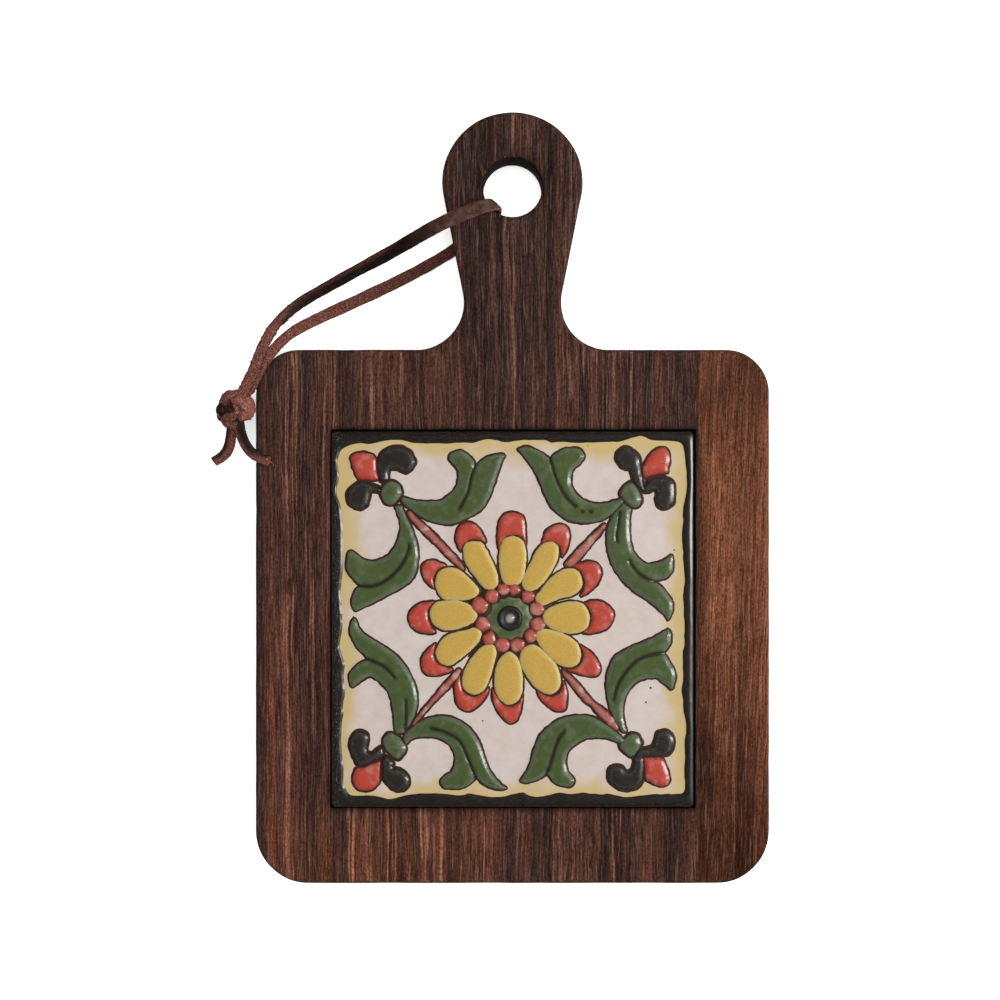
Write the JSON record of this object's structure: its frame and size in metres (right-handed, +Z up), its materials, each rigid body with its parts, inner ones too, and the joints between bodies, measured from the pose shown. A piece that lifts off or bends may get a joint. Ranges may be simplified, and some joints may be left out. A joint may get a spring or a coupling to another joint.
{
  "type": "paddle board",
  "caption": "Small paddle-shaped wooden table board with a handle, an inlaid square relief tile and a knotted leather lace through the handle's hole.",
  "frame": {"origin": "under the middle of the board, on the table that its foot pads stand on", "axes": "+X to the right across the grain, +Y along the grain towards the handle, +Z up out of the tile's face"},
  "size_m": [0.1551, 0.214, 0.0215],
  "materials": {
    "dark_wood": "oiled, open grain",
    "red_wood": "oiled, open grain",
    "adhesive": "cured, dull",
    "clay": "fired, unglazed",
    "pale_glaze": "satin, speckled",
    "black_glaze": "glossy",
    "green_glaze": "glossy, mottled",
    "red_glaze": "glossy",
    "yellow_glaze": "satin",
    "white_glaze": "glossy",
    "foot_pad": "matt",
    "lace_leather": "smooth on the grain side, napped on the flesh side"
  },
  "bodies": {
    "board": {"board_wide_stave": "dark_wood", "board_narrow_stave": "red_wood", "tile_adhesive": "adhesive", "tile_body": "clay", "ground_glaze": "pale_glaze", "border_glaze": "black_glaze", "leaf_fields": "green_glaze", "knop_fields": "green_glaze", "bud_fields": "red_glaze", "sepal_fields": "black_glaze", "stem_fields": "red_glaze", "petal_fields": "yellow_glaze", "petal_tip_fields": "red_glaze", "berry_fields": "red_glaze", "disc_field": "green_glaze", "ring_field": "black_glaze", "pearl_field": "white_glaze", "foot_near_left": "foot_pad", "foot_near_right": "foot_pad", "foot_far_left": "foot_pad", "foot_far_right": "foot_pad"},
    "lace": {"lace_loop": "lace_leather", "lace_knot": "lace_leather", "lace_tail_outer": "lace_leather", "lace_tail_inner": "lace_leather"}
  },
  "joints": [
    {"name": "lace_swivel", "type": "hinge", "parent": "board", "child": "lace", "pos_m": [0, 0.086, 0.01], "axis": [0, 0, 1], "range_deg": [-240, 0]}
  ]
}
